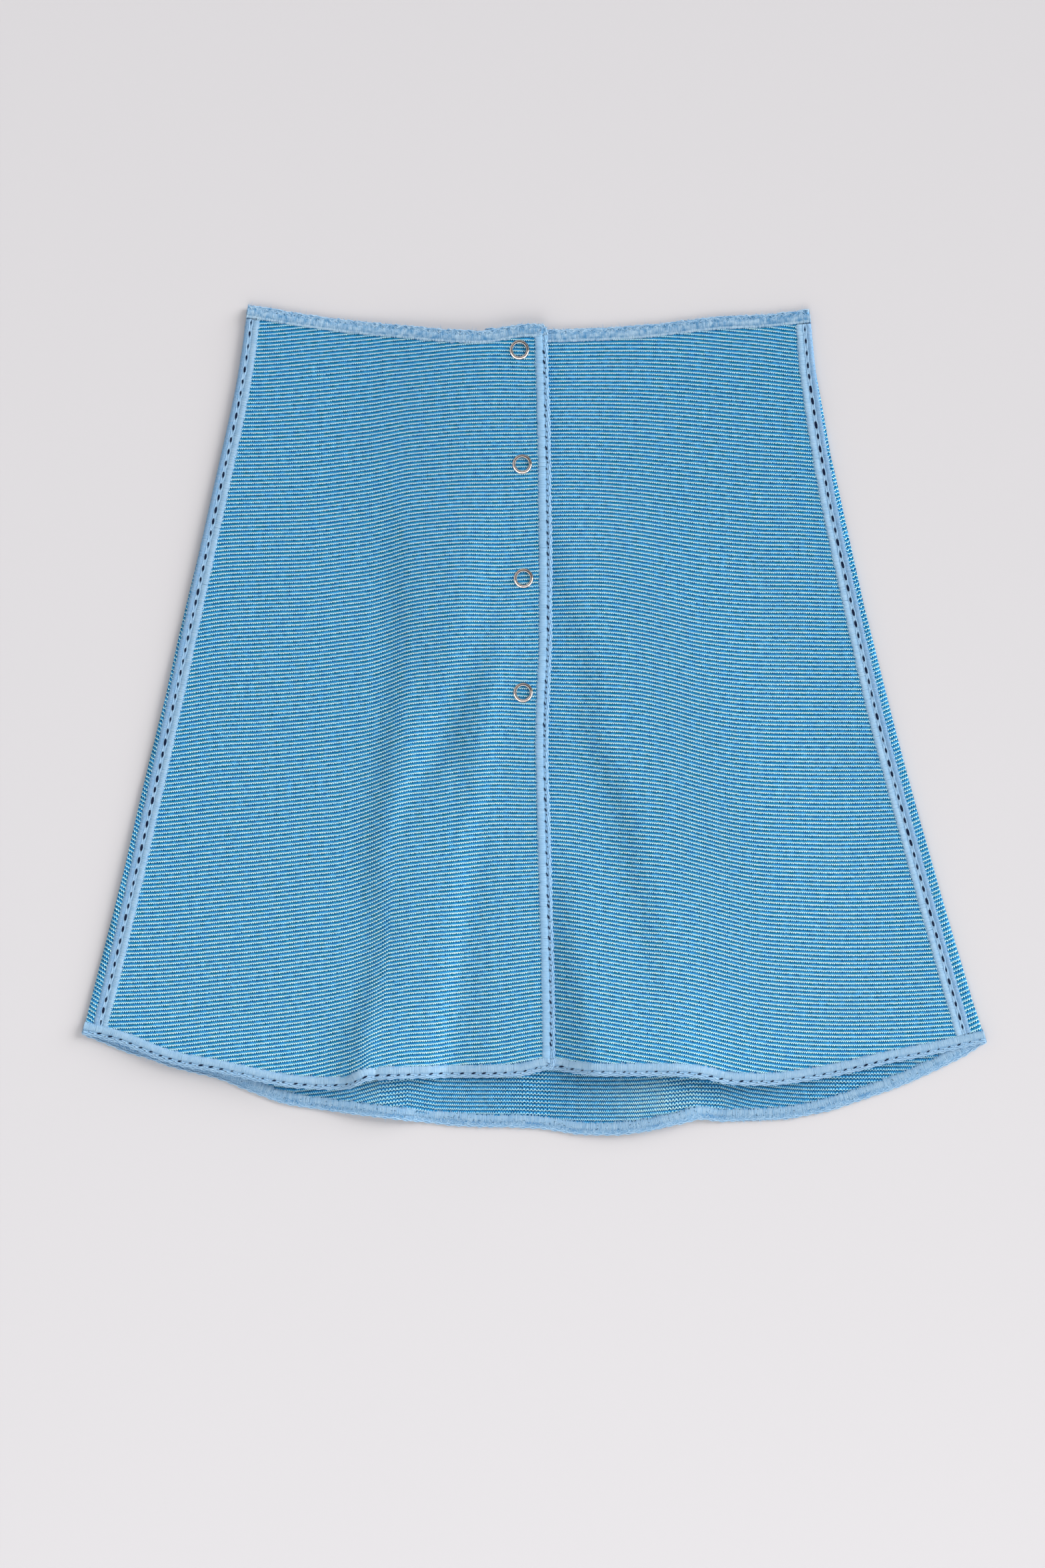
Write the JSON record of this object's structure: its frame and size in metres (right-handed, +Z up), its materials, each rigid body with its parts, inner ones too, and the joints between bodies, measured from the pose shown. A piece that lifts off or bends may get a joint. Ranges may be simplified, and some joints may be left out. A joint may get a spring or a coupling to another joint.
{
  "type": "knit skirt",
  "caption": "A-line mini skirt in striped knit, lying flat: the front laps over at a placket held by ring snaps, with overlocked waist, hem and side seams.",
  "frame": {"origin": "middle of the skirt's width and length, on the surface it lies on", "axes": "+X across the skirt to the right as seen from its front, +Y from the hem to the waist, +Z up out of the front"},
  "size_m": [0.4846, 0.445, 0.0118],
  "materials": {
    "striped_knit": "matte",
    "overlock_thread": "soft sheen",
    "nickel": "polished"
  },
  "bodies": {
    "root": {"back_panel": "striped_knit", "front_left_panel": "striped_knit", "front_right_panel": "striped_knit", "waist_trim_back": "overlock_thread", "hem_trim_back": "overlock_thread", "waist_trim_left": "overlock_thread", "waist_trim_right": "overlock_thread", "hem_trim_left": "overlock_thread", "hem_trim_right": "overlock_thread", "placket_trim_left": "overlock_thread", "placket_trim_right": "overlock_thread", "side_band_front_left": "overlock_thread", "side_band_front_right": "overlock_thread", "side_band_back_left": "overlock_thread", "side_band_back_right": "overlock_thread", "seam_ladder_left": "overlock_thread", "seam_ladder_right": "overlock_thread", "snap_1_ring": "nickel", "snap_1_socket": "nickel", "snap_1_stud": "nickel", "snap_1_back_ring": "nickel", "snap_2_ring": "nickel", "snap_2_socket": "nickel", "snap_2_stud": "nickel", "snap_2_back_ring": "nickel", "snap_3_ring": "nickel", "snap_3_socket": "nickel", "snap_3_stud": "nickel", "snap_3_back_ring": "nickel", "snap_4_ring": "nickel", "snap_4_socket": "nickel", "snap_4_stud": "nickel", "snap_4_back_ring": "nickel"}
  },
  "joints": []
}
